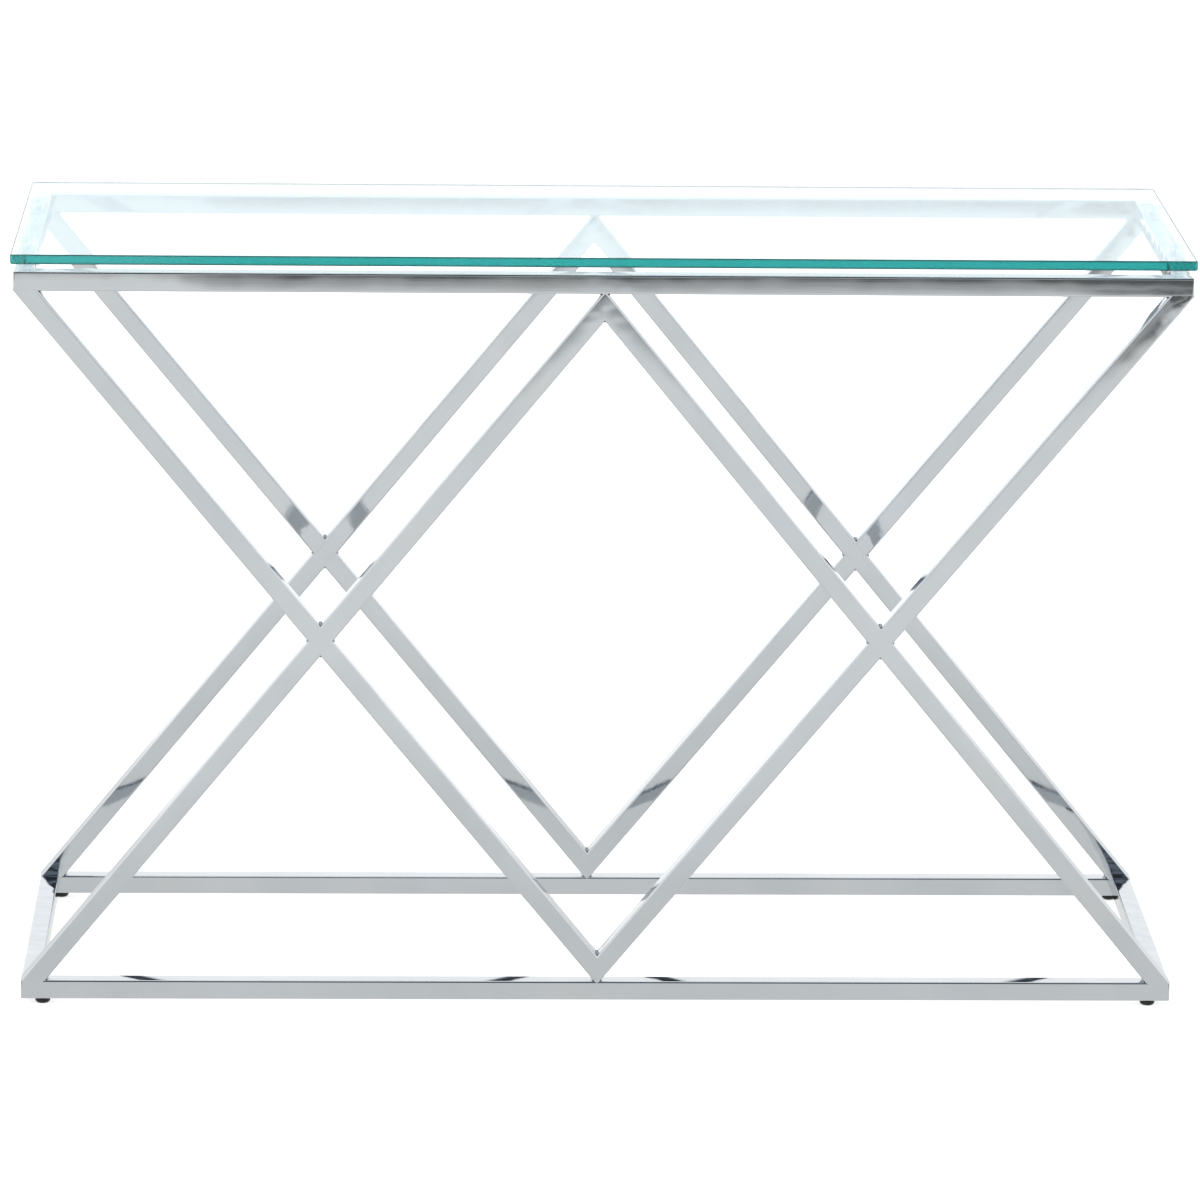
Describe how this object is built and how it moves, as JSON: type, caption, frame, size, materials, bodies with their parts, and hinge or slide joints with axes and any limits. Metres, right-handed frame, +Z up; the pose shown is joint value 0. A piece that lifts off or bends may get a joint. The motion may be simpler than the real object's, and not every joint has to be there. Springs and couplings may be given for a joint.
{
  "type": "console table",
  "caption": "Long narrow console table with a clear glass top on small pads over a polished chrome frame of square tube, its front and back crossed by diagonals.",
  "frame": {"origin": "on the floor, at the middle of the table's footprint", "axes": "+X along the table's length to the right, +Y from the front to the back, +Z up"},
  "size_m": [1.2, 0.4, 0.792],
  "materials": {
    "clear_glass": "clear float glass, polished flat edges with a ground bevel",
    "clear_pad": "clear, slightly soft",
    "polished_chrome": "mirror polished, joints ground flush",
    "black_foot": "fine matt, moulded"
  },
  "bodies": {
    "frame": {"pad_front_left": "clear_pad", "pad_front_right": "clear_pad", "pad_back_left": "clear_pad", "pad_back_right": "clear_pad", "top_rail_front": "polished_chrome", "top_rail_back": "polished_chrome", "top_rail_left": "polished_chrome", "top_rail_right": "polished_chrome", "bottom_rail_front": "polished_chrome", "bottom_rail_back": "polished_chrome", "bottom_rail_left": "polished_chrome", "bottom_rail_right": "polished_chrome", "long_diagonal_front_left": "polished_chrome", "long_diagonal_front_right": "polished_chrome", "long_diagonal_back_left": "polished_chrome", "long_diagonal_back_right": "polished_chrome", "upper_strut_front_left": "polished_chrome", "upper_strut_front_right": "polished_chrome", "upper_strut_back_left": "polished_chrome", "upper_strut_back_right": "polished_chrome", "lower_strut_front_left": "polished_chrome", "lower_strut_front_right": "polished_chrome", "lower_strut_back_left": "polished_chrome", "lower_strut_back_right": "polished_chrome", "foot_front_left": "black_foot", "foot_front_right": "black_foot", "foot_back_left": "black_foot", "foot_back_right": "black_foot"},
    "glass": {"glass_top": "clear_glass"}
  },
  "joints": [
    {"name": "glass_lift", "type": "slide", "parent": "frame", "child": "glass", "axis": [0, 0, 1], "range_m": [0, 0.1]}
  ]
}
